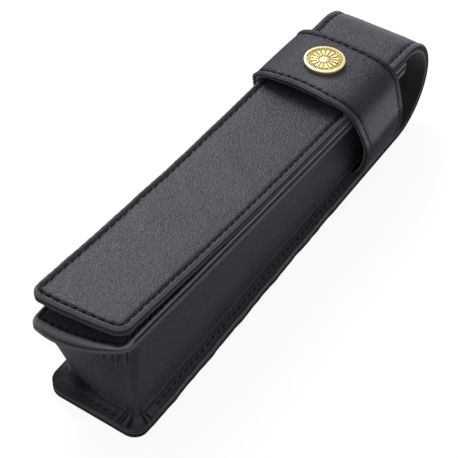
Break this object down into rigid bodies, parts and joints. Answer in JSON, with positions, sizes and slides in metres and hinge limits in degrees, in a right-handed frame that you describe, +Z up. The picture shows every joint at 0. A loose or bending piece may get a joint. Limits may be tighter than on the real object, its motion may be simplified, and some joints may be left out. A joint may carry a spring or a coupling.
{
  "type": "fountain pen case",
  "caption": "Slim black leather pen case with a gusseted pocket and a long tongue that folds over the mouth and slides under a keeper band with a round metal badge.",
  "frame": {"origin": "middle of the footprint, on the underside of the back panel", "axes": "+X along the case towards the mouth and its fold, +Y across the case, +Z up away from the table"},
  "size_m": [0.171, 0.0402, 0.0458],
  "materials": {
    "leather": "fine pebbled grain, semi-matt",
    "lining": "smooth lining leather, matt",
    "board": "bonded leather board, raw",
    "badge": "pale gold plate, polished",
    "washer": "plain"
  },
  "bodies": {
    "case": {"back_leather": "leather", "back_board": "board", "back_lining": "lining", "front_leather": "leather", "front_board": "board", "front_lining": "lining", "gusset_leather": "leather", "gusset_lining": "lining", "fold_leather": "leather", "fold_lining": "lining", "keeper_leather": "leather", "keeper_lining": "lining", "badge_disc": "badge", "badge_washer": "washer"},
    "tongue_root": {"tongue_root_leather": "leather", "tongue_root_lining": "lining"},
    "tongue_tip": {"tongue_leather": "leather", "tongue_board": "board", "tongue_lining": "lining"}
  },
  "joints": [
    {"name": "tongue_draw", "type": "slide", "parent": "case", "child": "tongue_root", "axis": [0.9992, 0, -0.0411], "range_m": [0, 0.012], "deforming": ["fold_leather", "fold_lining"]},
    {"name": "tongue_lift", "type": "hinge", "parent": "tongue_root", "child": "tongue_tip", "pos_m": [0.01082, 0, 0.03854], "axis": [0, 1, 0], "range_deg": [0, 60]}
  ]
}
